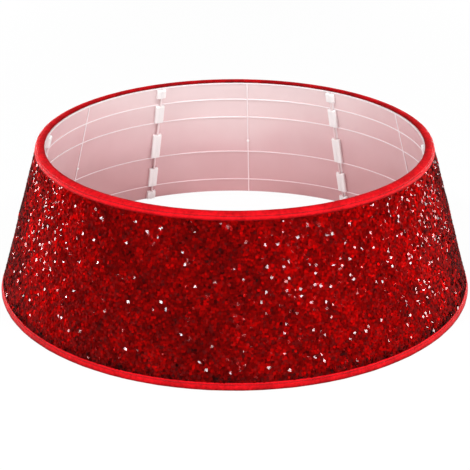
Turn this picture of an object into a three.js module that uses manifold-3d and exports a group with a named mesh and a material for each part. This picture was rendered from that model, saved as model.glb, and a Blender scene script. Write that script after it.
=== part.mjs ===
// A Christmas tree collar: six moulded panels snapped into a tapered ring, under a bound sequin sleeve.
// Millimetres, +Z up. The origin is the ring's centre, on the surface that it stands on.
import * as THREE from "three";
import { mergeVertices } from "three/addons/utils/BufferGeometryUtils.js";
import Module from "manifold-3d";

// Outer cone of the collar
const baseRadius = 381;
const rimRadius = 312;
const collarHeight = 238;

// Ring of panels, seen from above, counted from +X towards +Y
const panelNames = [
  "back_panel",
  "back_left_panel",
  "front_left_panel",
  "front_panel",
  "front_right_panel",
  "back_right_panel",
];
const firstSeamDegrees = 55.8;
const facetsPerPanel = 10;

// Fits
const seatGap = 0.3;
const seamGap = 0.8;

// Sleeve, its tape and its elastics. Depths are measured level, inwards from the outer cone
const tapeThickness = 1.3;
const sleeveThickness = 1.5;
const elasticThickness = 1.2;
const rimWidth = 12;
const rimDepth = 3;
const rimSkirt = 9;
const hemHeight = 11;
const hemBackHeight = 9;
const tapeRound = 0.9;

// Panel shell
const wallSetback = 15;
const wallThickness = 2;
const flangeThickness = 2;
const lipRise = 1;
const lipHeight = 2.4;

// Ribs on the panel's inner face
const ribRise = 1.5;
const ribThickness = 2.2;
const ribShares = [0.119, 0.384, 0.699, 0.857];
const gateRadius = 2.4;
const gateRise = 1;
const gateShare = 0.485;
const gateSides = 10;

// Snap seam: clips on a panel's first edge, a rod on its last
const clipWidth = 16;
const clipFloor = 1;
const clipChamfer = 0.9;
const clipLip = 1.2;
const clipMouthShare = 0.76;
const rodRadius = 1.9;
const rodSides = 8;
const webThickness = 1.8;
const webFoot = 4;
const webGap = 1;
const bottomClipShare = 0.07;
const lowClipShare = 0.165;
const middleClipShare = 0.207;
const topClipShare = 0.068;

// Derived angles and levels
const panelCount = panelNames.length;
const panelAngle = (2 * Math.PI) / panelCount;
const facetAngle = panelAngle / facetsPerPanel;
const lean = Math.atan2(baseRadius - rimRadius, collarHeight);
const panelTop = collarHeight - rimDepth - seatGap;
const tapeCeiling = collarHeight - tapeThickness;

// Derived depths, from the tape's outer face in to the panel's inner face
const sleeveOuter = tapeThickness + seatGap;
const sleeveInner = sleeveOuter + sleeveThickness;
const elasticOuter = sleeveInner + seatGap;
const elasticInner = elasticOuter + elasticThickness;
const hemBackOuter = elasticInner + seatGap;
const hemBackInner = hemBackOuter + tapeThickness;
const topFlangeEdge = sleeveInner + seatGap;
const bottomFlangeEdge = hemBackInner + seatGap;
const wallBack = wallSetback - wallThickness;
const rimTapeInner = rimWidth - tapeThickness;

// Derived sizes of the snap seam, risen from the panel's inner face
const halfClip = clipWidth / 2;
const fuseDepth = wallThickness / 2;
const clipUnder = seatGap + halfClip * Math.tan(facetAngle / 2);
const clipBed = clipUnder + clipFloor;
const rodCentre = clipBed + seatGap + rodRadius;
const clipRise = rodCentre + rodRadius + seatGap / 2;
const slotHalf = rodRadius + seatGap;
const clipMouth = slotHalf * clipMouthShare;

const plastic = new THREE.MeshStandardMaterial({ color: 0xf4dcda, roughness: 0.45, metalness: 0 });
const sequins = new THREE.MeshStandardMaterial({ color: 0x9c0a14, roughness: 0.3, metalness: 0.5 });
const tape = new THREE.MeshStandardMaterial({ color: 0xe0162a, roughness: 0.8, metalness: 0 });
const elastic = new THREE.MeshStandardMaterial({ color: 0xf2f0ec, roughness: 0.9, metalness: 0 });

const wasm = await Module();
wasm.setup();

// A point of an outline, [radius, height], from its depth inside the outer cone
function inside(depth, height) {
  return [baseRadius - Math.tan(lean) * height - depth, height];
}

// The outline, counter-clockwise with radius to the right, carried round +Z through the stations.
// A station's shift moves its copy of the outline along the ring.
function carriedRound(outline, stations, closed) {
  const positions = [];
  for (const { angle, shift } of stations) {
    for (const [radius, height] of outline) {
      const x = radius * Math.cos(angle) - shift * Math.sin(angle);
      const y = radius * Math.sin(angle) + shift * Math.cos(angle);
      positions.push(x, y, height);
    }
  }
  const count = outline.length;
  const spans = closed ? stations.length : stations.length - 1;
  const index = [];
  for (let span = 0; span < spans; span += 1) {
    const here = span * count;
    const next = ((span + 1) % stations.length) * count;
    for (let point = 0; point < count; point += 1) {
      const other = (point + 1) % count;
      index.push(here + point, next + other, here + other);
      index.push(here + point, next + point, next + other);
    }
  }
  if (!closed) {
    const flat = outline.map(([radius, height]) => new THREE.Vector2(radius, height));
    const last = (stations.length - 1) * count;
    for (const [a, b, c] of THREE.ShapeUtils.triangulateShape(flat, [])) {
      index.push(a, b, c);
      index.push(last + c, last + b, last + a);
    }
  }
  const geometry = new THREE.BufferGeometry();
  geometry.setAttribute("position", new THREE.Float32BufferAttribute(positions, 3));
  geometry.setIndex(index);
  return geometry;
}

// A full ring of the outline, with its corners in line with the panels' corners
function ring(outline) {
  const stations = [];
  for (let facet = 0; facet < panelCount * facetsPerPanel; facet += 1) {
    stations.push({ angle: facet * facetAngle, shift: 0 });
  }
  return carriedRound(outline, stations, true);
}

// One panel's share of that ring, each end drawn back from the seam
function arc(outline, firstInset, lastInset) {
  const stations = [];
  for (let facet = 0; facet <= facetsPerPanel; facet += 1) {
    stations.push({ angle: facet * facetAngle, shift: 0 });
  }
  stations[0].shift = firstInset;
  stations[facetsPerPanel].shift = -lastInset;
  return carriedRound(outline, stations, false);
}

// A prism on the panel's inner face. Its outline runs along the ring, then inwards from the face.
// It climbs the face between two levels, where the panel's edge or rib at that angle is.
function climbing(outline, angle, low, high) {
  const shape = new THREE.Shape(outline.map(([along, rise]) => new THREE.Vector2(along, rise)));
  const depth = (high - low) / Math.cos(lean);
  const geometry = new THREE.ExtrudeGeometry(shape, { depth, bevelEnabled: false });
  const alongRing = new THREE.Vector3(-Math.sin(angle), Math.cos(angle), 0);
  const outwards = new THREE.Vector3(Math.cos(angle), Math.sin(angle), 0);
  const up = new THREE.Vector3(0, 0, 1);
  const inwards = outwards.clone().multiplyScalar(-Math.cos(lean)).addScaledVector(up, -Math.sin(lean));
  const climb = outwards.clone().multiplyScalar(-Math.sin(lean)).addScaledVector(up, Math.cos(lean));
  const [radius, height] = inside(wallSetback, low);
  const start = outwards.clone().multiplyScalar(radius).addScaledVector(up, height);
  const frame = new THREE.Matrix4().makeBasis(alongRing, inwards, climb).setPosition(start);
  return geometry.applyMatrix4(frame);
}

function regularOutline(sides, radius, centreRise) {
  const outline = [];
  for (let side = 0; side < sides; side += 1) {
    const angle = ((side + 0.5) / sides) * 2 * Math.PI;
    outline.push([radius * Math.cos(angle), centreRise + radius * Math.sin(angle)]);
  }
  return outline;
}

function solidOf(geometry) {
  const bare = geometry.index ? geometry.toNonIndexed() : geometry.clone();
  bare.deleteAttribute("normal");
  bare.deleteAttribute("uv");
  const merged = mergeVertices(bare);
  const vertProperties = merged.attributes.position.array;
  const triVerts = new Uint32Array(merged.index.array);
  return new wasm.Manifold(new wasm.Mesh({ numProp: 3, vertProperties, triVerts }));
}

function joined(geometries) {
  const whole = geometries.map(solidOf).reduce((sum, solid) => sum.add(solid));
  const { vertProperties, triVerts } = whole.getMesh();
  const geometry = new THREE.BufferGeometry();
  geometry.setAttribute("position", new THREE.BufferAttribute(new Float32Array(vertProperties), 3));
  geometry.setIndex(new THREE.BufferAttribute(new Uint32Array(triVerts), 1));
  geometry.computeVertexNormals();
  return geometry;
}

// Levels of the ribs, and of the gaps that the clips fill between them
const ribLevels = ribShares.map((share) => share * panelTop);
const [lowRib, middleRib, highRib, upperRib] = ribLevels;
const overRib = ribThickness / 2 + seatGap + (ribRise + seatGap) * Math.sin(lean);
const underRib = ribThickness / 2 + seatGap;
const clipFootLevel = seatGap + clipRise * Math.sin(lean);
const clipHeadLevel = panelTop - lipHeight - seatGap;
const clipLevels = [
  [clipFootLevel, clipFootLevel + bottomClipShare * panelTop],
  [lowRib + overRib, lowRib + overRib + lowClipShare * panelTop],
  [middleRib + overRib, middleRib + overRib + middleClipShare * panelTop],
  [highRib + overRib, upperRib - underRib],
  [clipHeadLevel - topClipShare * panelTop, clipHeadLevel],
];

// Wall with its outward flanges, which carry the sleeve, and the lip at its top
function shell() {
  const outline = [
    inside(wallSetback, 0),
    inside(bottomFlangeEdge, 0),
    inside(bottomFlangeEdge, flangeThickness),
    inside(wallBack, flangeThickness),
    inside(wallBack, panelTop - flangeThickness),
    inside(topFlangeEdge, panelTop - flangeThickness),
    inside(topFlangeEdge, panelTop),
    inside(wallSetback + lipRise, panelTop),
    inside(wallSetback + lipRise, panelTop - lipHeight),
    inside(wallSetback, panelTop - lipHeight),
  ];
  return arc(outline, seamGap / 2, seamGap / 2);
}

// A level rib. It stops short of the neighbour's rod at the panel's first edge
function levelRib(level) {
  const low = level - ribThickness / 2;
  const high = level + ribThickness / 2;
  const outline = [
    inside(wallSetback + ribRise, low),
    inside(wallSetback - fuseDepth, low),
    inside(wallSetback - fuseDepth, high),
    inside(wallSetback + ribRise, high),
  ];
  return arc(outline, rodRadius + seatGap, seamGap / 2);
}

function uprightRib() {
  const half = ribThickness / 2;
  const outline = [
    [-half, -fuseDepth],
    [half, -fuseDepth],
    [half, ribRise],
    [-half, ribRise],
  ];
  const low = ribRise * Math.sin(lean);
  const high = panelTop - fuseDepth * Math.sin(lean);
  return climbing(outline, panelAngle / 2, low, high);
}

// The mark that the mould's gate leaves on the upright rib
function gateMark() {
  const disc = new THREE.CylinderGeometry(gateRadius, gateRadius, 1, gateSides);
  disc.scale(1, fuseDepth + ribRise + gateRise, 1);
  disc.rotateX(Math.PI / 2);
  disc.rotateY(-(Math.PI / 2 + lean));
  const [radius, height] = inside(wallSetback + (ribRise + gateRise - fuseDepth) / 2, gateShare * panelTop);
  disc.translate(radius, 0, height);
  return disc.rotateZ(panelAngle / 2);
}

// An open trough across the seam, on this panel's side, that holds the neighbour's rod
function clip([low, high]) {
  const outline = [
    [halfClip, -fuseDepth],
    [halfClip, clipRise - clipChamfer],
    [halfClip - clipChamfer, clipRise],
    [clipMouth, clipRise],
    [slotHalf, clipRise - clipLip],
    [slotHalf, clipBed],
    [-slotHalf, clipBed],
    [-slotHalf, clipRise - clipLip],
    [-clipMouth, clipRise],
    [clipChamfer - halfClip, clipRise],
    [-halfClip, clipRise - clipChamfer],
    [-halfClip, clipUnder],
    [seamGap / 2, clipUnder],
    [seamGap / 2, -fuseDepth],
  ];
  return climbing(outline, 0, low, high);
}

function rod() {
  const corner = rodRadius / Math.cos(Math.PI / rodSides);
  return climbing(regularOutline(rodSides, corner, rodCentre), panelAngle, clipFootLevel, clipHeadLevel);
}

// The web that carries the rod between two of the neighbour's clips
function web(low, high) {
  const outline = [
    [-webFoot, -fuseDepth],
    [-seamGap / 2, -fuseDepth],
    [-seamGap / 2, seatGap],
    [webThickness / 2, rodCentre],
    [-webThickness / 2, rodCentre],
    [-webFoot, seatGap],
  ];
  return climbing(outline, panelAngle, low, high);
}

function webs() {
  return clipLevels.slice(1).map(([above], gap) => web(clipLevels[gap][1] + webGap, above - webGap));
}

function panelGeometry() {
  const ribs = ribLevels.map(levelRib);
  const clips = clipLevels.map(clip);
  return joined([shell(), ...ribs, uprightRib(), gateMark(), ...clips, rod(), ...webs()]);
}

function sleeveGeometry() {
  const low = tapeThickness + seatGap;
  const high = tapeCeiling - seatGap;
  return ring([
    inside(sleeveInner, low),
    inside(sleeveOuter, low),
    inside(sleeveOuter, high),
    inside(sleeveInner, high),
  ]);
}

// Folded over the sleeve's top edge, along the panels' top flanges and down to a short lip inside
function topBindingGeometry() {
  const shoulder = collarHeight - tapeRound;
  const seat = panelTop + seatGap;
  return ring([
    inside(tapeThickness, collarHeight - rimSkirt),
    inside(0, collarHeight - rimSkirt),
    inside(0, shoulder),
    inside(tapeRound, collarHeight),
    inside(rimWidth - tapeRound, collarHeight),
    inside(rimWidth, shoulder),
    inside(rimWidth, seat),
    inside(rimTapeInner, seat),
    inside(rimTapeInner, tapeCeiling),
    inside(tapeThickness, tapeCeiling),
  ]);
}

function topElasticGeometry() {
  const low = panelTop + seatGap;
  const high = tapeCeiling - seatGap;
  const back = rimTapeInner - seatGap;
  return ring([
    inside(back, low),
    inside(elasticOuter, low),
    inside(elasticOuter, high),
    inside(back, high),
  ]);
}

// Folded under the sleeve's bottom edge, outside the panels' bottom flanges
function bottomBindingGeometry() {
  return ring([
    inside(hemBackInner - tapeRound, 0),
    inside(tapeRound, 0),
    inside(0, tapeRound),
    inside(0, hemHeight),
    inside(tapeThickness, hemHeight),
    inside(tapeThickness, tapeThickness),
    inside(hemBackOuter, tapeThickness),
    inside(hemBackOuter, hemBackHeight),
    inside(hemBackInner, hemBackHeight),
    inside(hemBackInner, tapeRound),
  ]);
}

function bottomElasticGeometry() {
  const low = tapeThickness + seatGap;
  return ring([
    inside(elasticInner, low),
    inside(elasticOuter, low),
    inside(elasticOuter, hemBackHeight),
    inside(elasticInner, hemBackHeight),
  ]);
}

function named(name, geometry, material) {
  const mesh = new THREE.Mesh(geometry, material);
  mesh.name = name;
  return mesh;
}

const collar = new THREE.Group();
collar.rotation.z = THREE.MathUtils.degToRad(firstSeamDegrees);

const frame = new THREE.Group();
const onePanel = panelGeometry();
panelNames.forEach((name, place) => {
  const panel = named(name, onePanel, plastic);
  panel.rotation.z = place * panelAngle;
  frame.add(panel);
});
collar.add(frame);

const sleeve = new THREE.Group();
sleeve.add(named("sequin_sleeve", sleeveGeometry(), sequins));
sleeve.add(named("top_binding", topBindingGeometry(), tape));
sleeve.add(named("top_elastic", topElasticGeometry(), elastic));
sleeve.add(named("bottom_binding", bottomBindingGeometry(), tape));
sleeve.add(named("bottom_elastic", bottomElasticGeometry(), elastic));
collar.add(sleeve);

export default collar;
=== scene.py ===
import math

import bpy
import numpy as np
from mathutils import Matrix, Vector


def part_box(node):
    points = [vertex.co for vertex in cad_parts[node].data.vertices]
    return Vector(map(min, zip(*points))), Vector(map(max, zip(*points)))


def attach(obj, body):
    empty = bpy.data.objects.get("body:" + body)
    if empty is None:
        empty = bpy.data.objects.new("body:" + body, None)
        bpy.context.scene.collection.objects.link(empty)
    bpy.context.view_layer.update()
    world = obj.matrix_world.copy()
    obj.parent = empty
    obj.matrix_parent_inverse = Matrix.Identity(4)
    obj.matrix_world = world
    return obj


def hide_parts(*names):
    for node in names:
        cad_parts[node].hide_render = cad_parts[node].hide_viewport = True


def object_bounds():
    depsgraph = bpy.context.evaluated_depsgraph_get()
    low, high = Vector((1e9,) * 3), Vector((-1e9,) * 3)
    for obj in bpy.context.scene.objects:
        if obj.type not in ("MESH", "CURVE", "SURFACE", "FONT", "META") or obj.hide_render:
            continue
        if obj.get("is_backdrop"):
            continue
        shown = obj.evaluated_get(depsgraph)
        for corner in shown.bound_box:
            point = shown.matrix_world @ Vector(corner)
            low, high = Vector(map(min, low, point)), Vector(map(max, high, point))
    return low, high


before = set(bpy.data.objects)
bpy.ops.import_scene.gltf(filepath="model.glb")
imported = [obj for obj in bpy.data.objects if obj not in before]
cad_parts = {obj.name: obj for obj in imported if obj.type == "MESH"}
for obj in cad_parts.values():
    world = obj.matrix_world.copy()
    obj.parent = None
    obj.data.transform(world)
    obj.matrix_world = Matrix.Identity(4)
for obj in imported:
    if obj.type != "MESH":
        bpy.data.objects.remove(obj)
cad_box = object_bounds()

MM = 0.001
UP = np.array([0, 0, 1.0])
PANELS = (
    "back_panel",
    "back_left_panel",
    "front_left_panel",
    "front_panel",
    "front_right_panel",
    "back_right_panel",
)

# The collar's outer cone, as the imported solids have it
BASE_RADIUS = 381 * MM
RIM_RADIUS = 312 * MM
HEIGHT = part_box("top_binding")[1][2]
PANEL_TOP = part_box("back_panel")[1][2]
SLEEVE_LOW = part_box("sequin_sleeve")[0][2]
SLEEVE_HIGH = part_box("sequin_sleeve")[1][2]
SKIRT_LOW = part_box("top_binding")[0][2]
HEM_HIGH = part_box("bottom_binding")[1][2]
HEM_BACK_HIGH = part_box("bottom_elastic")[1][2]
TAPER = (BASE_RADIUS - RIM_RADIUS) / HEIGHT
LEAN = math.atan(TAPER)
MIDDLE_RADIUS = (BASE_RADIUS + RIM_RADIUS) / 2
FIRST_SEAM = math.radians(55.8)
PANEL_ANGLE = 2 * math.pi / len(PANELS)
SEAM_GAP = 0.8 * MM
FIT = 0.3 * MM

# Depths inside the outer cone
SLEEVE_OUTER = 1.6 * MM
SLEEVE_INNER = 3.1 * MM
BAND_OUTER = 3.45 * MM
BAND_INNER = 4.55 * MM
TOP_BAND_INNER = 10.35 * MM
TOP_FLANGE_EDGE = 3.4 * MM
BOTTOM_FLANGE_EDGE = 6.5 * MM
WALL_BACK = 13 * MM
WALL_FACE = 15 * MM

# Panel mouldings
FLANGE = 2 * MM
EDGE_ROUND = 0.35 * MM
LIP_RISE = 1 * MM
LIP_HEIGHT = 2.4 * MM
RIB_RISE = 1.5 * MM
RIB_THICKNESS = 2.2 * MM
RIB_SHARES = (0.119, 0.384, 0.699, 0.857)
RIB_SHOULDER_SHARE = 0.55
RIB_CREST_POINTS = 7
RIB_CREST_POWER = 0.6
RIB_EDGE_SHARE = 0.45
GATE_SHARE = 0.485
GATE_RADIUS = 2.4 * MM
GATE_RISE = 2.5 * MM
GATE_SIDES = 20
GATE_EDGE_SHARES = (0.8, 0.7)
SINK = 1 * MM
PANEL_STEPS = 24
SHARP_ANGLE = math.radians(32)

# Snap seam, risen from the panel's inner face
HALF_CLIP = 8 * MM
CLIP_UNDER = 0.72 * MM
CLIP_BED = 1.72 * MM
ROD_RADIUS = 1.9 * MM
ROD_SIDES = 16
ROD_CENTRE = CLIP_BED + FIT + ROD_RADIUS
CLIP_RISE = ROD_CENTRE + ROD_RADIUS + FIT / 2
CLIP_EDGE = 0.9 * MM
CLIP_LIP = 1.2 * MM
GRIP = 0.05 * MM
SLOT_HALF = ROD_RADIUS + GRIP
MOUTH_HALF = SLOT_HALF * 0.5
CLIP_END = 1.4 * MM
CLIP_END_SHARE = 0.84
WEB_HALF = 0.9 * MM
WEB_FOOT = 4 * MM
WEB_GAP = 1 * MM
CLIP_LENGTH_SHARES = (0.07, 0.165, 0.207, 0.068)

# Plastic: the share of its white that the rod keeps where it runs free, how far a painted shade deepens
# the wall's pink to the sides, and the outer face's colour
ROD_WHITE = 0.35
SIDE_PAINTED_SHADE = 0.55
OUTER_FACE = (0.56, 0.545, 0.545)

# Cloth. Its creases are waves round the ring, each with its count and how many radians it shifts from the
# floor to the rim. The weight of a wave is CREASE_WEIGHT over its count plus CREASE_LEVEL
CLOTH_STEPS = 400
CLOTH_ROWS = 44
CLOTH_SINK = 0.2 * MM
CREASES = (
    (9, 3.0),
    (14, -6.0),
    (19, 11.0),
    (23, -9.0),
    (29, 17.0),
    (34, -21.0),
    (41, 13.0),
    (47, -30.0),
)
CREASE_DEPTH = 0.42 * MM
CREASE_WEIGHT = 14
CREASE_LEVEL = 6
CREASE_PHASE = 2.4
CREASES_FROM = 45 * MM
CREASES_TO = 195 * MM
SLEEVE_SEAM = math.radians(150)
SEAM_PINCH = 0.5 * MM
SEAM_REACH = 2.5 * MM

# Sequins. Their tone waves are like the creases: a count, and a shift from the floor to the rim
SEED = 7
SEQUIN_RADIUS = 2.5 * MM
SEQUIN_SIDES = 8
SEQUIN_SIZE_SHARES = (0.93, 1.06)
SEQUIN_PITCH = 3.8 * MM
SEQUIN_ROW = 3.3 * MM
SEQUIN_STRAY_SHARE = 0.16
SEQUIN_STAND = 0.45 * MM
SEQUIN_STRAY_RISES_MM = (-0.3, 0.35)
SEQUIN_TILT = 0.1
SEQUIN_LAP = 0.08
SEQUIN_TOP_GAP = 0.4 * MM
SEQUIN_BOTTOM_GAP = 1.2 * MM
SEQUIN_SEAM_GAP = 1.3 * MM
SLOPE_STEP = 2 * MM
BESIDE_HEM = 2 * MM
OFF_HEM = 13 * MM
HEM_TILT = 1.1
TONE_WAVES = ((13, 9.0), (29, -17.0), (47, 31.0), (71, -43.0), (103, 58.0), (149, -66.0))
TONE_PHASE = 1.7
TONE_MIDDLE = 0.44
TONE_PATCH = 0.038
HEM_PAINTED_SHADE = 0.2
TONE_SPREAD = 0.115

# Tapes, their stitches and the elastics inside them. A stitch is a row of places along its length, each
# with the share of its radius there
TOP_TAPE_STEPS = 600
BOTTOM_TAPE_STEPS = 720
BAND_STEPS = 360
TOP_BAND_HEIGHT = 1.3 * MM
PUCKERS_PER_RADIAN = 48.16
PUCKER_DEPTH = 0.05 * MM
WAVERS = ((37, 1.0), (61, 2.2), (97, 0.0))
WAVER_DEPTH = 0.07 * MM
JOIN_RISE = 0.35 * MM
JOIN_REACH = 7 * MM
STITCH_LENGTH = 3.1 * MM
STITCH_GAP = 0.55 * MM
STITCH_RADIUS = 0.24 * MM
STITCH_SIDES = 6
STITCH_SHARES = ((-0.5, 0.0), (-0.44, 0.7), (-0.2, 1.0), (0.2, 1.0), (0.44, 0.7), (0.5, 0.0))
STITCH_DEPTH = 0.62 * MM
TOP_STITCH_RISE = 5.95 * MM
BOTTOM_STITCH_HEIGHT = 8.15 * MM

# Camera, fitted to the collar's outline in the photo
CAMERA_ELEVATION = math.radians(23.83)
CAMERA_DISTANCE = 2.1735
CAMERA_TARGET = (0.0005, 0.0, 0.0694)
CAMERA_SENSOR = 36
CAMERA_LENS = 102.0

# Studio. Each lamp has its azimuth and elevation in degrees, its width and height, and its radiance.
# Two large ones stand high. The others stand low, where the sequins mirror them as glints
LAMP_TARGET = (0, 0, 0.1)
LAMP_DISTANCE = 2.6
LAMPS = (
    (-50, 54, 0.32, 0.32, 96.0),
    (52, 54, 0.32, 0.32, 78.0),
    (-18, 15, 0.05, 0.05, 175.0),
    (9, 14, 0.10, 0.095, 113.0),
    (28, 14, 0.105, 0.095, 122.0),
    (-47, 12, 0.065, 0.065, 215.0),
    (52, 13, 0.115, 0.11, 138.0),
    (-76, 8, 0.074, 0.074, 235.0),
    (78, 8, 0.138, 0.132, 140.0),
    (-32, 17, 0.06, 0.06, 235.0),
    (3, 20, 0.085, 0.07, 122.0),
    (38, 18, 0.10, 0.09, 134.0),
    (-98, 2, 0.19, 0.12, 122.0),
    (100, 2, 0.22, 0.13, 100.0),
    (-116, 1, 0.37, 0.14, 76.0),
    (117, 1, 0.39, 0.16, 58.0),
    (-134, 1, 0.50, 0.15, 60.0),
    (135, 1, 0.49, 0.16, 45.0),
    (-152, 1, 0.60, 0.16, 38.0),
    (153, 1, 0.52, 0.16, 38.0),
)
WORLD_COLOUR = (0.97, 0.98, 1.0, 1)
WORLD_STRENGTH = 0.35
BACKDROP_SHARE = 0.95
FLOOR_REACH = 9.0


def cone(depth, height):
    """The radius at a depth inside the outer cone, at a height."""
    return BASE_RADIUS - TAPER * height - depth


def axes(angle):
    """At an angle round the ring: outwards, along the ring, inwards off a panel's face, and up that face."""
    out = np.array([math.cos(angle), math.sin(angle), 0])
    side = np.array([-math.sin(angle), math.cos(angle), 0])
    inward = -math.cos(LEAN) * out - math.sin(LEAN) * UP
    climb = -math.sin(LEAN) * out + math.cos(LEAN) * UP
    return out, side, inward, climb


# Meshes


def linked(name, data):
    """A new object in the scene."""
    made = bpy.data.objects.new(name, data)
    bpy.context.scene.collection.objects.link(made)
    return made


def new_object(name, points, faces, material, uvs=None, smooth=True):
    mesh = bpy.data.meshes.new(name)
    mesh.from_pydata(np.asarray(points).tolist(), [], [list(face) for face in faces])
    if uvs is not None:
        layer = mesh.uv_layers.new(name="cloth")
        layer.data.foreach_set("uv", np.asarray(uvs, dtype=np.float32).ravel())
    mesh.update()
    mesh.polygons.foreach_set("use_smooth", [smooth] * len(mesh.polygons))
    made = linked(name, mesh)
    if material is not None:
        made.data.materials.append(material)
    return made


def give_values(mesh, name, domain, values):
    """An attribute with one number for each point or face."""
    attribute = mesh.attributes.new(name, "FLOAT", domain)
    attribute.data.foreach_set("value", np.asarray(values, dtype=np.float32))


def ring_object(name, profile, steps, material, swell=None):
    """A closed profile of (depth, height) points, or (depth, height, painted shade), carried round +Z.
    The swell says how far out each point moves. The UVs are metres along the ring and the profile."""
    profile = np.asarray(profile, dtype=float)
    shades = profile[:, 2] if profile.shape[1] > 2 else None
    profile = profile[:, :2]
    angles = FIRST_SEAM + np.arange(steps) * 2 * math.pi / steps
    turn, point = np.meshgrid(angles, np.arange(len(profile)), indexing="ij")
    height = profile[point, 1]
    radius = cone(profile[point, 0], height)
    if swell is not None:
        radius = radius + swell(turn, height)
    points = np.stack([radius * np.cos(turn), radius * np.sin(turn), height], axis=-1).reshape(-1, 3)
    count = len(profile)
    here, level = np.meshgrid(np.arange(steps), np.arange(count), indexing="ij")
    after = (here + 1) % steps
    above = (level + 1) % count
    corners = [(here, level), (after, level), (after, above), (here, above)]
    faces = np.stack([a * count + b for a, b in corners], axis=-1).reshape(-1, 4)
    closed = np.vstack([profile, profile[:1]])
    along = np.concatenate([[0], np.cumsum(np.linalg.norm(np.diff(closed, axis=0), axis=1))])
    step = 2 * math.pi * MIDDLE_RADIUS / steps
    corners = [(here, level), (here + 1, level), (here + 1, level + 1), (here, level + 1)]
    uvs = np.stack([np.stack([a * step, along[b]], axis=-1) for a, b in corners], axis=2)
    made = new_object(name, points, faces, material, uvs.reshape(-1, 2))
    if shades is not None:
        give_values(made.data, "shade", "POINT", np.tile(shades, steps))
    return made


def arc_mesh(outline, first_inset, last_inset):
    """A closed outline of (depth, height) points carried round one panel's angle, with flat ends."""
    outline = np.asarray(outline, dtype=float)
    count = len(outline)
    angles = np.arange(PANEL_STEPS + 1) * PANEL_ANGLE / PANEL_STEPS
    shifts = np.zeros(PANEL_STEPS + 1)
    shifts[0] = first_inset
    shifts[-1] = -last_inset
    radius = cone(outline[:, 0], outline[:, 1])[None, :]
    turn = angles[:, None]
    x = radius * np.cos(turn) - shifts[:, None] * np.sin(turn)
    y = radius * np.sin(turn) + shifts[:, None] * np.cos(turn)
    z = np.broadcast_to(outline[:, 1], x.shape)
    points = np.stack([x, y, z], axis=-1).reshape(-1, 3)
    faces = []
    for here in range(0, PANEL_STEPS * count, count):
        after = here + count
        for point in range(count):
            other = (point + 1) % count
            faces.append((here + point, after + point, after + other, here + other))
    faces.append(tuple(range(count)))
    faces.append(tuple(reversed(range(PANEL_STEPS * count, (PANEL_STEPS + 1) * count))))
    return points, faces


def climbing_mesh(outline, angle, low, high, end_share=1.0, end_length=0.0):
    """An outline of (along the ring, risen from the panel's face) points carried up the face.
    Near both ends what rises past the clip's bed drops to a share of itself."""
    length = (high - low) / math.cos(LEAN)
    stations = [(0.0, end_share), (length, end_share)]
    if end_length:
        stations = [(0.0, end_share), (end_length, 1.0), (length - end_length, 1.0), (length, end_share)]
    out, side, inward, climb = axes(angle)
    start = cone(WALL_FACE, low) * out + low * UP
    points = []
    for climbed, share in stations:
        for along, rise in outline:
            lifted = rise * share if rise > CLIP_BED else rise
            points.append(start + climbed * climb + along * side + lifted * inward)
    count = len(outline)
    faces = []
    for here in range(0, (len(stations) - 1) * count, count):
        for point in range(count):
            other = (point + 1) % count
            faces.append((here + point, here + other, here + count + other, here + count + point))
    faces.append(tuple(reversed(range(count))))
    faces.append(tuple(range((len(stations) - 1) * count, len(stations) * count)))
    return np.array(points), faces


# Nodes


class Nodes:
    """A material's node tree, with short calls for what this scene uses."""

    def __init__(self, name):
        self.material = bpy.data.materials.new(name)
        self.material.use_nodes = True
        self.tree = self.material.node_tree
        self.shader = self.tree.nodes["Principled BSDF"]
        self.output = self.tree.nodes["Material Output"]

    def feed(self, socket, value):
        """Links another node's output to a socket, or sets the socket's own value."""
        if isinstance(value, bpy.types.NodeSocket):
            self.tree.links.new(value, socket)
        else:
            socket.default_value = value

    def add(self, kind, values=None, **settings):
        node = self.tree.nodes.new(kind)
        for key, value in settings.items():
            setattr(node, key, value)
        for key, value in (values or {}).items():
            self.feed(node.inputs[key], value)
        return node

    def set(self, **values):
        for key, value in values.items():
            self.feed(self.shader.inputs[key.replace("_", " ")], value)

    def math(self, operation, first, second=0.0, clamp=False):
        node = self.add("ShaderNodeMath", {0: first, 1: second}, operation=operation, use_clamp=clamp)
        return node.outputs[0]

    def spread(self, value, low, high, to_low=0.0, to_high=1.0):
        values = {"Value": value, "From Min": low, "From Max": high, "To Min": to_low, "To Max": to_high}
        return self.add("ShaderNodeMapRange", values).outputs["Result"]

    def noise(self, vector, scale, detail=2.0, rough=0.5):
        values = {"Vector": vector, "Scale": scale, "Detail": detail, "Roughness": rough}
        return self.add("ShaderNodeTexNoise", values).outputs["Fac"]

    def bands(self, vector, scale, direction, distortion=0.0, detail=2.0):
        values = {"Vector": vector, "Scale": scale, "Distortion": distortion, "Detail": detail}
        node = self.add("ShaderNodeTexWave", values, wave_type="BANDS", bands_direction=direction)
        return node.outputs["Fac"]

    def value_of(self, name):
        """An attribute of the mesh."""
        return self.add("ShaderNodeAttribute", attribute_name=name).outputs["Fac"]

    def ramp(self, value, *stops):
        node = self.add("ShaderNodeValToRGB", {"Fac": value})
        elements = node.color_ramp.elements
        while len(elements) < len(stops):
            elements.new(0.5)
        for element, (place, colour) in zip(elements, stops):
            element.position = place
            element.color = (*colour, 1)
        return node.outputs["Color"]

    def mixed(self, share, first, second):
        node = self.add("ShaderNodeMix", data_type="RGBA")
        self.feed(node.inputs[0], share)
        for socket, colour in zip((node.inputs[6], node.inputs[7]), (first, second)):
            self.feed(socket, (*colour, 1) if isinstance(colour, tuple) else colour)
        return node.outputs[2]

    def bump(self, height, distance, strength=1.0, under=None):
        values = {"Height": height, "Distance": distance, "Strength": strength}
        if under is not None:
            values["Normal"] = under
        return self.add("ShaderNodeBump", values).outputs["Normal"]

    def place(self):
        return self.add("ShaderNodeTexCoord").outputs["Object"]

    def cloth_uv(self):
        return self.add("ShaderNodeUVMap", uv_map="cloth").outputs["UV"]


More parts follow.
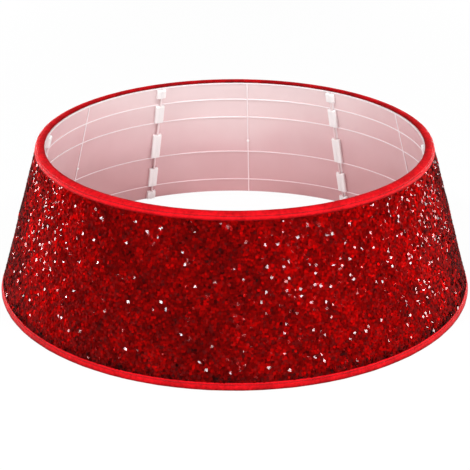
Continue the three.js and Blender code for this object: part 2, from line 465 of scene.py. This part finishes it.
def between_clips(nodes, level):
    """1 at the heights where the rod runs free, 0 where a clip holds it."""
    drop = CLIP_RISE * math.sin(LEAN)
    stops = [(0.0, (1, 1, 1))]
    for low, high in clip_levels():
        stops += [((low - drop) / PANEL_TOP, (0, 0, 0)), ((high - drop) / PANEL_TOP, (1, 1, 1))]
    free = nodes.ramp(level, *stops)
    free.node.color_ramp.interpolation = "CONSTANT"
    return free


def plastic_material():
    """Translucent white plastic over red cloth: the thin wall looks pink, what stands thicker looks white."""
    nodes = Nodes("panel_plastic")
    place = nodes.place()
    parts = nodes.add("ShaderNodeSeparateXYZ", {"Vector": place})
    x, y, z = (parts.outputs[k] for k in "XYZ")
    across = nodes.math("MULTIPLY", x, x)
    square = nodes.math("ADD", across, nodes.math("MULTIPLY", y, y))
    face = nodes.math("SUBTRACT", BASE_RADIUS - WALL_FACE, nodes.math("MULTIPLY", z, TAPER))
    rise = nodes.math("SUBTRACT", face, nodes.math("SQRT", square))
    level = nodes.spread(z, 0.0, PANEL_TOP)

    cloud = nodes.spread(nodes.noise(place, 9.0, 3.0), 0.3, 0.7, -0.07, 0.07)
    aside = nodes.math("DIVIDE", across, square)
    # Painted light: the wall's colour grows lighter towards its top and its pink deepens to the sides; the
    # cloud is random mottle
    painted_light_and_mottle = nodes.math("SUBTRACT", nodes.math("ADD", level, cloud), nodes.math("MULTIPLY", aside, SIDE_PAINTED_SHADE))
    wall = nodes.ramp(
        painted_light_and_mottle,
        (0.0, (0.66, 0.36, 0.37)),
        (0.35, (0.77, 0.49, 0.505)),
        (0.7, (0.87, 0.68, 0.68)),
        (1.0, (0.87, 0.73, 0.73)),
    )
    # Painted shade: ribs and clips are darker towards the bottom and lighter at the top
    rib = nodes.ramp(level, (0.0, (0.97, 0.76, 0.78)), (1.0, (0.99, 0.93, 0.94)))
    clip = nodes.ramp(level, (0.0, (0.99, 0.94, 0.93)), (1.0, (0.99, 0.985, 0.975)))
    solid = nodes.mixed(nodes.spread(rise, RIB_RISE, RIB_RISE + 1 * MM), rib, clip)

    flange = nodes.spread(z, PANEL_TOP - 0.7 * MM, PANEL_TOP - 0.3 * MM)
    thick = nodes.math("MAXIMUM", flange, nodes.spread(rise, 0.1 * MM, 0.7 * MM))
    free_rod = nodes.math("MULTIPLY", nodes.value_of("rod"), between_clips(nodes, level))
    thick = nodes.math("MULTIPLY", thick, nodes.spread(free_rod, 0.0, 1.0, 1.0, ROD_WHITE))
    backed = nodes.mixed(thick, wall, solid)
    outside = nodes.math("SUBTRACT", nodes.spread(rise, -1.5 * MM, -1 * MM, 1.0, 0.0), flange, clamp=True)
    nodes.set(Base_Color=nodes.mixed(outside, backed, OUTER_FACE))

    grain = nodes.noise(place, 900.0, 2.0)
    sink = nodes.noise(place, 28.0, 1.0)
    rough = nodes.spread(nodes.noise(place, 60.0, 3.0), 0.3, 0.7, 0.34, 0.46)
    nodes.set(Roughness=rough, Normal=nodes.bump(grain, 0.02 * MM, 0.5, nodes.bump(sink, 0.5 * MM, 0.25)))
    nodes.set(IOR=1.49)
    return nodes.material


def tape_material():
    """Bright red woven tape with fine cross ribs, mottling, and painted shade and highlight across its
    profile.
    """
    nodes = Nodes("binding_tape")
    place = nodes.place()
    ribs = nodes.bands(nodes.cloth_uv(), 320.0, "X", 0.6, 1.0)
    fuzz = nodes.noise(place, 700.0, 2.0)
    cloud = nodes.spread(nodes.noise(place, 35.0, 3.0), 0.35, 0.65, -0.1, 0.1)
    mottle = nodes.spread(nodes.noise(place, 190.0, 2.0), 0.3, 0.7, -0.14, 0.14)
    worn = nodes.math("ADD", cloud, nodes.spread(fuzz, 0.3, 0.7, -0.08, 0.08))
    # The profile's shade is painted shade and highlight: darker in folds, along sewn edges and on faces
    # turned down, lighter on the crest
    share = nodes.math("ADD", nodes.value_of("shade"), nodes.math("ADD", worn, mottle))
    colour = nodes.ramp(
        share,
        (0.0, (0.09, 0.0, 0.001)),
        (0.5, (0.35, 0.0, 0.002)),
        (1.0, (0.76, 0.003, 0.009)),
    )
    nodes.set(Base_Color=colour, Roughness=nodes.spread(ribs, 0.0, 1.0, 0.55, 0.7))
    weave = nodes.bump(ribs, 0.12 * MM, 0.6)
    nodes.set(Normal=nodes.bump(fuzz, 0.12 * MM, 0.5, weave))
    nodes.set(Specular_IOR_Level=0.08)
    return nodes.material


def thread_material():
    nodes = Nodes("red_thread")
    place = nodes.place()
    twist = nodes.noise(place, 2600.0, 1.0)
    colour = nodes.ramp(nodes.noise(place, 240.0), (0.3, (0.42, 0.004, 0.012)), (0.7, (0.62, 0.008, 0.02)))
    nodes.set(Base_Color=colour, Roughness=nodes.spread(twist, 0.3, 0.7, 0.45, 0.65))
    nodes.set(Normal=nodes.bump(twist, 0.08 * MM, 0.6))
    return nodes.material


def knit_material():
    """The dark red knit that the sequins are sewn on."""
    nodes = Nodes("red_knit")
    values = {"Vector": nodes.cloth_uv(), "Scale": 900.0}
    loops = nodes.add("ShaderNodeTexVoronoi", values, feature="F1").outputs["Distance"]
    shade = nodes.noise(nodes.place(), 120.0, 3.0)
    colour = nodes.ramp(shade, (0.3, (0.07, 0.0, 0.0006)), (0.7, (0.13, 0.0, 0.0012)))
    nodes.set(Base_Color=colour, Roughness=nodes.spread(loops, 0.0, 0.6, 0.95, 0.75))
    nodes.set(Normal=nodes.bump(loops, 0.25 * MM, 0.7), Specular_IOR_Level=0.0)
    return nodes.material


def sequin_material():
    """Red mirror film. Each sequin has its own tone, and clear film over it throws white glints."""
    nodes = Nodes("sequin_film")
    colour = nodes.ramp(
        nodes.value_of("tone"),
        (0.0, (0.02, 0.0, 0.0)),
        (0.45, (0.168, 0.0, 0.0)),
        (0.8, (0.44, 0.0, 0.0)),
        (1.0, (0.82, 0.001, 0.003)),
    )
    scuff = nodes.noise(nodes.place(), 420.0, 2.0)
    nodes.set(Base_Color=colour, Metallic=1.0, Roughness=nodes.spread(scuff, 0.3, 0.7, 0.36, 0.5))
    nodes.set(Specular_Tint=(0.12, 0.003, 0.004, 1))
    nodes.set(Normal=nodes.bump(scuff, 0.12 * MM, 0.35))
    nodes.set(Coat_Weight=0.052, Coat_IOR=2.0, Coat_Roughness=0.05)
    return nodes.material


def elastic_material():
    nodes = Nodes("white_elastic")
    cords = nodes.bands(nodes.cloth_uv(), 260.0, "Y")
    colour = nodes.ramp(cords, (0.0, (0.70, 0.69, 0.66)), (1.0, (0.90, 0.89, 0.87)))
    nodes.set(Base_Color=colour, Roughness=nodes.spread(cords, 0.0, 1.0, 0.9, 0.75))
    nodes.set(Normal=nodes.bump(cords, 0.2 * MM, 0.8))
    return nodes.material


# Panels


def rounded(depth, height, before, after):
    """The two points that cut off a corner of an outline, towards the sides before and after it."""
    return [(depth + across * EDGE_ROUND, height + climb * EDGE_ROUND) for across, climb in (before, after)]


def shell_outline():
    """Counter-clockwise with depth to the left: the wall, its two flanges and its lip."""
    outline = rounded(WALL_FACE, 0, (0, 1), (-1, 0))
    outline += rounded(BOTTOM_FLANGE_EDGE, 0, (1, 0), (0, 1))
    outline += rounded(BOTTOM_FLANGE_EDGE, FLANGE, (0, -1), (1, 0))
    outline += rounded(WALL_BACK, FLANGE, (-1, 0), (0, 1))
    outline += rounded(WALL_BACK, PANEL_TOP - FLANGE, (0, -1), (-1, 0))
    outline += rounded(TOP_FLANGE_EDGE, PANEL_TOP - FLANGE, (1, 0), (0, 1))
    outline += rounded(TOP_FLANGE_EDGE, PANEL_TOP, (0, -1), (1, 0))
    outline += rounded(WALL_FACE + LIP_RISE, PANEL_TOP, (-1, 0), (0, -1))
    outline += rounded(WALL_FACE + LIP_RISE, PANEL_TOP - LIP_HEIGHT, (0, 1), (-1, 0))
    outline.append((WALL_FACE, PANEL_TOP - LIP_HEIGHT))
    return outline


def rib_outline(level):
    """A level rib with a rounded crest."""
    half = RIB_THICKNESS / 2
    outline = [(WALL_FACE - SINK, level - half), (WALL_FACE - SINK, level + half)]
    for turn in np.linspace(0.5, -0.5, RIB_CREST_POINTS):
        across = math.sin(turn * math.pi)
        crest = RIB_EDGE_SHARE + (1 - RIB_EDGE_SHARE) * math.cos(turn * math.pi) ** RIB_CREST_POWER
        outline.append((WALL_FACE + RIB_RISE * crest, level + half * across))
    return outline


def upright_outline():
    """The upright rib, with its two edges cut off."""
    half = RIB_THICKNESS / 2
    crest = [(half, -SINK), (half, RIB_RISE * RIB_SHOULDER_SHARE), (half * RIB_SHOULDER_SHARE, RIB_RISE)]
    return crest + [(-along, rise) for along, rise in reversed(crest)]


def clip_outline():
    """An open trough across the seam, which holds the neighbour's rod."""
    return [
        (HALF_CLIP, -SINK),
        (HALF_CLIP, CLIP_RISE - CLIP_EDGE),
        (HALF_CLIP - CLIP_EDGE, CLIP_RISE),
        (MOUTH_HALF, CLIP_RISE),
        (SLOT_HALF, CLIP_RISE - CLIP_LIP),
        (SLOT_HALF, CLIP_BED),
        (-SLOT_HALF, CLIP_BED),
        (-SLOT_HALF, CLIP_RISE - CLIP_LIP),
        (-MOUTH_HALF, CLIP_RISE),
        (CLIP_EDGE - HALF_CLIP, CLIP_RISE),
        (-HALF_CLIP, CLIP_RISE - CLIP_EDGE),
        (-HALF_CLIP, CLIP_UNDER),
        (SEAM_GAP / 2, CLIP_UNDER),
        (SEAM_GAP / 2, -SINK),
    ]


def web_outline():
    """The web that carries the rod between two of the neighbour's clips."""
    return [
        (-WEB_FOOT, -SINK),
        (-SEAM_GAP / 2, -SINK),
        (-SEAM_GAP / 2, FIT),
        (WEB_HALF, ROD_CENTRE),
        (-WEB_HALF, ROD_CENTRE),
        (-WEB_FOOT, FIT),
    ]


def clip_levels():
    """The heights between which the five clips of a seam stand."""
    low_rib, middle_rib, high_rib, upper_rib = (share * PANEL_TOP for share in RIB_SHARES)
    bottom, low, middle, top = (share * PANEL_TOP for share in CLIP_LENGTH_SHARES)
    over = RIB_THICKNESS / 2 + FIT + (RIB_RISE + FIT) * math.sin(LEAN)
    under = RIB_THICKNESS / 2 + FIT
    foot = FIT + CLIP_RISE * math.sin(LEAN)
    head = PANEL_TOP - LIP_HEIGHT - FIT
    return [
        (foot, foot + bottom),
        (low_rib + over, low_rib + over + low),
        (middle_rib + over, middle_rib + over + middle),
        (high_rib + over, upper_rib - under),
        (head - top, head),
    ]


def circle(radius, centre, sides):
    turns = (np.arange(sides) + 0.5) * 2 * math.pi / sides
    return [(radius * math.cos(turn), centre + radius * math.sin(turn)) for turn in turns]


def gate_mesh():
    """The round mark that the mould's gate leaves on the upright rib, with its edge cut off."""
    outline = circle(GATE_RADIUS, 0, GATE_SIDES)
    height = GATE_SHARE * PANEL_TOP
    out, side, inward, climb = axes(PANEL_ANGLE / 2)
    centre = cone(WALL_FACE, height) * out + height * UP
    edge_share, top_share = GATE_EDGE_SHARES
    points = []
    for rise, share in ((-SINK, 1.0), (GATE_RISE * edge_share, 1.0), (GATE_RISE, top_share)):
        for along, across in outline:
            points.append(centre + (along * side + across * climb) * share + rise * inward)
    faces = []
    for here in (0, GATE_SIDES):
        after = here + GATE_SIDES
        for point in range(GATE_SIDES):
            other = (point + 1) % GATE_SIDES
            faces.append((here + point, after + point, after + other, here + other))
    faces.append(tuple(range(GATE_SIDES)))
    faces.append(tuple(reversed(range(2 * GATE_SIDES, 3 * GATE_SIDES))))
    return np.array(points), faces


def panel_parts():
    """The closed shapes that a panel is the union of, with its first seam at angle 0."""
    levels = clip_levels()
    foot, head = levels[0][0], levels[-1][1]
    yield arc_mesh(shell_outline(), SEAM_GAP / 2, SEAM_GAP / 2)
    for share in RIB_SHARES:
        yield arc_mesh(rib_outline(share * PANEL_TOP), ROD_RADIUS + FIT, SEAM_GAP / 2)
    low = RIB_RISE * math.sin(LEAN)
    yield climbing_mesh(upright_outline(), PANEL_ANGLE / 2, low, PANEL_TOP - SINK * math.sin(LEAN))
    yield gate_mesh()
    for low, high in levels:
        yield climbing_mesh(clip_outline(), 0, low, high, CLIP_END_SHARE, CLIP_END)
    yield climbing_mesh(circle(ROD_RADIUS, ROD_CENTRE, ROD_SIDES), PANEL_ANGLE, foot, head)
    for (_, below), (above, _) in zip(levels, levels[1:]):
        yield climbing_mesh(web_outline(), PANEL_ANGLE, below + WEB_GAP, above - WEB_GAP)


def sharpen(mesh):
    """Marks the edges between faces that meet at more than the sharp angle."""
    mesh.polygons.foreach_set("use_smooth", [True] * len(mesh.polygons))
    normals = np.empty(len(mesh.polygons) * 3, np.float32)
    mesh.polygons.foreach_get("normal", normals)
    normals = normals.reshape(-1, 3)
    first = {}
    sharp = np.zeros(len(mesh.edges), dtype=bool)
    for polygon in mesh.polygons:
        for loop in polygon.loop_indices:
            edge = mesh.loops[loop].edge_index
            if edge in first:
                sharp[edge] = normals[first[edge]] @ normals[polygon.index] < math.cos(SHARP_ANGLE)
            first[edge] = polygon.index
    mesh.edges.foreach_set("use_edge_sharp", sharp)


def mark_rod(mesh):
    """Gives the faces of the hinge rod the value 1 in an attribute."""
    out, _, inward, climb = axes(PANEL_ANGLE)
    axis_point = cone(WALL_FACE, 0) * out + ROD_CENTRE * inward
    centres = np.array([polygon.center for polygon in mesh.polygons]) - axis_point
    aside = centres - (centres @ climb)[:, None] * climb
    give_values(mesh, "rod", "FACE", np.linalg.norm(aside, axis=1) < ROD_RADIUS)


def panel_mesh():
    parts = [new_object("part", points, faces, None) for points, faces in panel_parts()]
    whole = parts[0]
    for part in parts[1:]:
        union = whole.modifiers.new("union", "BOOLEAN")
        union.operation = "UNION"
        union.solver = "MANIFOLD"
        union.object = part
    bpy.context.view_layer.update()
    found = whole.evaluated_get(bpy.context.evaluated_depsgraph_get())
    mesh = bpy.data.meshes.new_from_object(found)
    for part in parts:
        bpy.data.objects.remove(part)
    sharpen(mesh)
    mark_rod(mesh)
    return mesh


def make_panels(material):
    shape = panel_mesh()
    shape.materials.clear()
    shape.materials.append(material)
    for place, node in enumerate(PANELS):
        mesh = shape.copy()
        mesh.transform(Matrix.Rotation(FIRST_SEAM + place * PANEL_ANGLE, 4, "Z"))
        panel = linked(node + "_moulding", mesh)
        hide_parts(node)
        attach(panel, "ring")
    bpy.data.meshes.remove(shape)


# Cloth and sequins


def ease(value, low, high):
    """From 0 at low to 1 at high, smoothly."""
    share = np.clip((value - low) / (high - low), 0, 1)
    return share * share * (3 - 2 * share)


def past_seam(turn):
    """Metres along the ring from the sleeve's sewn seam, negative on its other side."""
    return ((turn - SLEEVE_SEAM + math.pi) % (2 * math.pi) - math.pi) * MIDDLE_RADIUS


def hem_share(height):
    """1 beside the hem, where the sequins lie less evenly and take a painted shade, falling to 0 well above
    it.
    """
    return 1 - ease(height, HEM_HIGH + BESIDE_HEM, HEM_HIGH + OFF_HEM)


def cloth_swell(turn, height):
    """How far the cloth stands out of its straight cone: soft creases, and the pinch of the sewn seam."""
    free = ease(height, HEM_HIGH, CREASES_FROM) * (1 - ease(height, CREASES_TO, SKIRT_LOW))
    waves = 0
    for number, (count, climb) in enumerate(CREASES):
        phase = CREASE_PHASE * number * number
        weight = CREASE_WEIGHT / (count + CREASE_LEVEL)
        waves = waves + np.sin(count * turn + climb * height / HEIGHT + phase) * weight
    pinch = np.exp(-((past_seam(turn) / SEAM_REACH) ** 2))
    return free * waves * CREASE_DEPTH - SEAM_PINCH * pinch


def make_cloth(material):
    heights = np.linspace(SLEEVE_LOW, SLEEVE_HIGH, CLOTH_ROWS)
    outer = [(SLEEVE_OUTER + CLOTH_SINK, height) for height in heights]
    inner = [(SLEEVE_INNER, height) for height in reversed(heights)]
    cloth = ring_object("sleeve_cloth", outer + inner, CLOTH_STEPS, material, cloth_swell)
    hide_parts("sequin_sleeve")
    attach(cloth, "sleeve")
    return cloth


def sequin_places(random):
    """The angle and height of each sequin. Every second row is shifted along by half a pitch."""
    top = SKIRT_LOW - SEQUIN_TOP_GAP
    bottom = HEM_HIGH + SEQUIN_BOTTOM_GAP
    rows = int((top - bottom) / math.cos(LEAN) / SEQUIN_ROW)
    turns, heights = [], []
    for row in range(rows + 1):
        height = bottom + (top - bottom) * row / rows
        count = round(2 * math.pi * cone(0, height) / SEQUIN_PITCH)
        turn = (np.arange(count) + 0.5 * (row % 2)) * 2 * math.pi / count
        stray = random.normal(0, SEQUIN_STRAY_SHARE, count) * SEQUIN_PITCH
        turns.append(turn + stray / cone(0, height))
        heights.append(height + random.normal(0, SEQUIN_STRAY_SHARE, count) * SEQUIN_ROW)
    turn = np.concatenate(turns)
    height = np.clip(np.concatenate(heights), bottom, top)
    keep = np.abs(past_seam(turn)) > SEQUIN_SEAM_GAP
    return turn[keep], height[keep]


def sequin_corners(random, turn, height):
    """The corners of each sequin, which is flat, lies on the creased cloth and is tilted at random."""
    count = len(turn)
    stray = random.uniform(*SEQUIN_STRAY_RISES_MM, count) * MM
    radius = cone(SLEEVE_OUTER, height) + SEQUIN_STAND + stray + cloth_swell(turn, height)
    out = np.stack([np.cos(turn), np.sin(turn), np.zeros(count)], axis=-1)
    side = np.stack([-np.sin(turn), np.cos(turn), np.zeros(count)], axis=-1)
    climb = -math.sin(LEAN) * out + math.cos(LEAN) * UP
    face = math.cos(LEAN) * out + math.sin(LEAN) * UP
    step = SLOPE_STEP
    rise_side = cloth_swell(turn + step / radius, height) - cloth_swell(turn - step / radius, height)
    rise_climb = cloth_swell(turn, height + step) - cloth_swell(turn, height - step)
    unevenness = SEQUIN_TILT * (1 + HEM_TILT * hem_share(height))
    tilt_side = random.normal(0, 1, count) * unevenness - rise_side / (2 * step)
    tilt_climb = random.normal(0, 1, count) * unevenness - rise_climb / (2 * step) + SEQUIN_LAP
    normal = face + tilt_side[:, None] * side + tilt_climb[:, None] * climb
    normal /= np.linalg.norm(normal, axis=1, keepdims=True)
    first = side - (side * normal).sum(1, keepdims=True) * normal
    first /= np.linalg.norm(first, axis=1, keepdims=True)
    second = np.cross(normal, first)
    centre = radius[:, None] * out + height[:, None] * UP
    size = SEQUIN_RADIUS * random.uniform(*SEQUIN_SIZE_SHARES, count)
    start = random.uniform(0, 2 * math.pi, count)
    corners = []
    for corner in range(SEQUIN_SIDES):
        angle = start + corner * 2 * math.pi / SEQUIN_SIDES
        reach = np.cos(angle)[:, None] * first + np.sin(angle)[:, None] * second
        corners.append(centre + size[:, None] * reach)
    return np.stack(corners, axis=1)


def sequin_tones(random, turn, height):
    """A tone from 0 to 1 for each sequin: soft patches, a painted shade beside the hem, and a share of
    chance.
    """
    patch = 0
    for number, (waves, rise) in enumerate(TONE_WAVES):
        patch = patch + np.sin(waves * turn + rise * height / HEIGHT + TONE_PHASE * number)
    chance = random.normal(0, TONE_SPREAD, len(turn))
    # Beside the hem the tone is lowered as painted shade, where the cloth tucks in
    return np.clip(TONE_MIDDLE + TONE_PATCH * patch - HEM_PAINTED_SHADE * hem_share(height) + chance, 0, 1)


def make_sequins(material):
    """Rows of flat eight-sided sequins, lapped like tiles. Two pieces keep each mesh small."""
    random = np.random.default_rng(SEED)
    turn, height = sequin_places(random)
    corners = sequin_corners(random, turn, height)
    tones = sequin_tones(random, turn, height)
    low = height < HEIGHT / 2
    pieces = []
    for name, part in (("lower_sequins", low), ("upper_sequins", ~low)):
        held = part.sum()
        faces = np.arange(held * SEQUIN_SIDES).reshape(held, SEQUIN_SIDES)
        sequins = new_object(name, corners[part].reshape(-1, 3), faces, material, smooth=False)
        give_values(sequins.data, "tone", "FACE", tones[part])
        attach(sequins, "sleeve")
        pieces.append(sequins)
    return pieces


# Bindings, their stitches and the elastics inside them


def pucker(turn, _height):
    """The small unevenness that sewing leaves in the tape, and the lump where its ends join."""
    ripple = np.sin(2 * math.pi * PUCKERS_PER_RADIAN * turn)
    waver = sum(np.sin(count * turn + phase) for count, phase in WAVERS)
    join = np.exp(-((past_seam(turn) / JOIN_REACH) ** 4))
    return PUCKER_DEPTH * ripple + WAVER_DEPTH * waver + JOIN_RISE * join


def profile_over(base, *points):
    """Points of a tape's profile, from their depth and their height over the base in millimetres.
    Each has a painted shade too, which is low in folds and along sewn edges, where shade falls, and high on
    the crest, a painted highlight."""
    return [(depth * MM, base + height * MM, shade) for depth, height, shade in points]


def make_top_binding(material):
    """The rim's tape: its skirt outside, its padded crest, its short lip inside and its hidden face."""
    # The third number of each point is a painted shade: dark in folds, along sewn edges and on faces turned
    # in, light on the crest
    skirt = profile_over(
        SKIRT_LOW,
        (1.32, 0, 0.1),
        (0.75, -0.1, 0.1),
        (0.3, 0.35, 0.25),
        (0.05, 1.3, 0.5),
        (-0.1, 2.6, 0.74),
        (-0.05, 3.8, 0.95),
        (0.2, 4.8, 0.95),
        (0.75, 5.5, 0.6),
        (0.9, 5.95, 0.4),
        (0.7, 6.35, 0.6),
        (0.25, 6.9, 0.86),
        (0.15, 7.5, 0.86),
        (0.4, 8.2, 0.76),
    )
    crest = profile_over(
        HEIGHT,
        (1.1, -0.25, 0.76),
        (2.4, 0.45, 0.77),
        (4.2, 0.95, 0.77),
        (6.2, 1.25, 0.76),
        (8.6, 1.25, 0.68),
        (11.0, 0.85, 0.54),
        (12.8, 0.1, 0.42),
        (13.8, -1.0, 0.36),
        (14.0, -2.1, 0.32),
        (13.3, -2.95, 0.3),
        (10.75, -2.95, 0.1),
        (10.7, -1.35, 0.1),
        (1.4, -1.35, 0.1),
    )
    tape = ring_object("top_binding_tape", skirt + crest, TOP_TAPE_STEPS, material, pucker)
    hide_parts("top_binding")
    return tape


def make_bottom_binding(material):
    """The hem's tape, folded up round the cloth's edge and the elastic: its outside, inside and back."""
    # The third number of each point is a painted shade: dark in folds and along the bottom edge, a painted
    # highlight near the top
    outside = profile_over(
        0,
        (5.2, 0, 0.1),
        (1.4, 0, 0.1),
        (0.5, 0.35, 0.15),
        (0.05, 1.2, 0.3),
        (-0.15, 2.8, 0.55),
        (-0.15, 5.0, 0.7),
        (0.05, 6.6, 0.75),
        (0.5, 7.5, 0.6),
        (0.85, 7.95, 0.35),
        (0.85, 8.35, 0.4),
        (0.4, 8.8, 0.85),
        (0.2, 9.6, 1.0),
    )
    edge = profile_over(HEM_HIGH, (0.4, -0.5, 0.8), (0.8, 0, 0.3), (1.32, -0.1, 0.1))
    inside = profile_over(0, (1.32, 1.35, 0.1), (4.9, 1.35, 0.5), (4.9, 8.6, 0.5))
    back_edge = profile_over(HEM_BACK_HIGH, (5.5, 0, 0.5))
    back = profile_over(0, (6.1, 8.6, 0.6), (6.2, 1.0, 0.4))
    profile = outside + edge + inside + back_edge + back
    tape = ring_object("bottom_binding_tape", profile, BOTTOM_TAPE_STEPS, material, pucker)
    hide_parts("bottom_binding")
    return tape


def make_stitches(name, height, material):
    """A ring of lockstitches lying in the tape's groove."""
    radius = cone(STITCH_DEPTH, height)
    count = round(2 * math.pi * radius / (STITCH_LENGTH + STITCH_GAP))
    points, faces = [], []
    for stitch in range(count):
        base = len(points)
        for along, share in STITCH_SHARES:
            turn = stitch * 2 * math.pi / count + along * STITCH_LENGTH / radius
            middle = radius + float(pucker(turn, height))
            thick = STITCH_RADIUS * share
            for corner in range(STITCH_SIDES if share else 1):
                spin = corner * 2 * math.pi / STITCH_SIDES
                reach = middle + thick * math.cos(spin)
                level = height + thick * math.sin(spin)
                points.append((reach * math.cos(turn), reach * math.sin(turn), level))
        rings = [base + 1 + STITCH_SIDES * k for k in range(len(STITCH_SHARES) - 2)]
        last = rings[-1] + STITCH_SIDES
        for corner in range(STITCH_SIDES):
            other = (corner + 1) % STITCH_SIDES
            faces.append((base, rings[0] + corner, rings[0] + other))
            faces.append((last, rings[-1] + other, rings[-1] + corner))
            for here, after in zip(rings, rings[1:]):
                faces.append((here + corner, after + corner, after + other, here + other))
    return new_object(name, points, faces, material)


def make_band(name, inner, low, high, material):
    """A flat elastic between two heights, just inside the cloth and in to a depth."""
    profile = [(inner, low), (BAND_OUTER, low), (BAND_OUTER, high), (inner, high)]
    return ring_object(name, profile, BAND_STEPS, material)


def make_sleeve():
    knit, tape, thread, elastic = knit_material(), tape_material(), thread_material(), elastic_material()
    cloth = make_cloth(knit)
    sequins = make_sequins(sequin_material())
    bindings = [make_top_binding(tape), make_bottom_binding(tape)]
    stitches = [
        make_stitches("top_stitches", SKIRT_LOW + TOP_STITCH_RISE, thread),
        make_stitches("bottom_stitches", BOTTOM_STITCH_HEIGHT, thread),
    ]
    bottom_band = make_band("bottom_elastic_band", BAND_INNER, SLEEVE_LOW, HEM_BACK_HIGH - FIT, elastic)
    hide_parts("bottom_elastic")
    low = PANEL_TOP + FIT
    top_band = make_band("top_elastic_band", TOP_BAND_INNER, low, low + TOP_BAND_HEIGHT, elastic)
    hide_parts("top_elastic")
    for piece in (*bindings, *stitches):
        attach(piece, "sleeve")
    for piece in (bottom_band, top_band):
        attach(piece, "sleeve")


# Studio


def aim(thing, place, target):
    thing.location = place
    way = Vector(target) - Vector(place)
    thing.rotation_euler = way.to_track_quat("-Z", "Y").to_euler()


def make_camera():
    camera = bpy.data.cameras.new("camera")
    camera.sensor_width = CAMERA_SENSOR
    camera.lens = CAMERA_LENS
    made = linked("camera", camera)
    x, _, z = CAMERA_TARGET
    away, up = CAMERA_DISTANCE * math.cos(CAMERA_ELEVATION), CAMERA_DISTANCE * math.sin(CAMERA_ELEVATION)
    aim(made, (x, -away, z + up), CAMERA_TARGET)
    bpy.context.scene.camera = made


def make_lamp(name, azimuth, elevation, width, height, radiance):
    """A flat lamp that faces the collar. Its azimuth runs from the camera's side to the picture's right."""
    lamp = bpy.data.lights.new(name, "AREA")
    lamp.shape = "RECTANGLE"
    lamp.size = width
    lamp.size_y = height
    lamp.energy = radiance * math.pi * width * height
    turn, climb = math.radians(azimuth), math.radians(elevation)
    away = LAMP_DISTANCE * math.cos(climb)
    place = (away * math.sin(turn), -away * math.cos(turn), LAMP_TARGET[2] + LAMP_DISTANCE * math.sin(climb))
    aim(linked(name, lamp), place, LAMP_TARGET)


def make_floor():
    """A pale floor that keeps the collar's shadow and looks white to the camera and in reflections."""
    nodes = Nodes("studio_floor")
    grain = nodes.noise(nodes.place(), 3.0)
    colour = nodes.ramp(grain, (0.3, (0.93, 0.93, 0.93)), (0.7, (0.95, 0.95, 0.95)))
    nodes.set(Base_Color=colour, Roughness=0.9)
    path = nodes.add("ShaderNodeLightPath")
    seen = nodes.math("ADD", path.outputs["Is Camera Ray"], path.outputs["Is Glossy Ray"])
    seen = nodes.math("ADD", seen, path.outputs["Is Transmission Ray"], clamp=True)
    white = nodes.add("ShaderNodeEmission", {"Color": (1, 1, 1, 1), "Strength": 1.0})
    share = nodes.math("MULTIPLY", seen, BACKDROP_SHARE)
    mixed = nodes.add("ShaderNodeMixShader", {0: share, 1: nodes.shader.outputs[0], 2: white.outputs[0]})
    nodes.tree.links.new(mixed.outputs[0], nodes.output.inputs["Surface"])
    corners = [(x * FLOOR_REACH, y * FLOOR_REACH, 0) for x, y in ((-1, -1), (1, -1), (1, 1), (-1, 1))]
    floor = new_object("floor", corners, [(0, 1, 2, 3)], nodes.material, smooth=False)
    floor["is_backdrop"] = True


def make_studio():
    make_floor()
    world = bpy.data.worlds.new("studio")
    world.use_nodes = True
    backdrop = world.node_tree.nodes["Background"]
    backdrop.inputs["Color"].default_value = WORLD_COLOUR
    backdrop.inputs["Strength"].default_value = WORLD_STRENGTH
    bpy.context.scene.world = world
    for number, lamp in enumerate(LAMPS):
        make_lamp(f"lamp_{number + 1}", *lamp)


make_camera()
make_studio()
make_panels(plastic_material())
make_sleeve()

bpy.context.scene.view_settings.view_transform = "Standard"

boxes = {"cad": cad_box, "visual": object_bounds()}
sizes = {name: [[float(value) for value in corner] for corner in box] for name, box in boxes.items()}
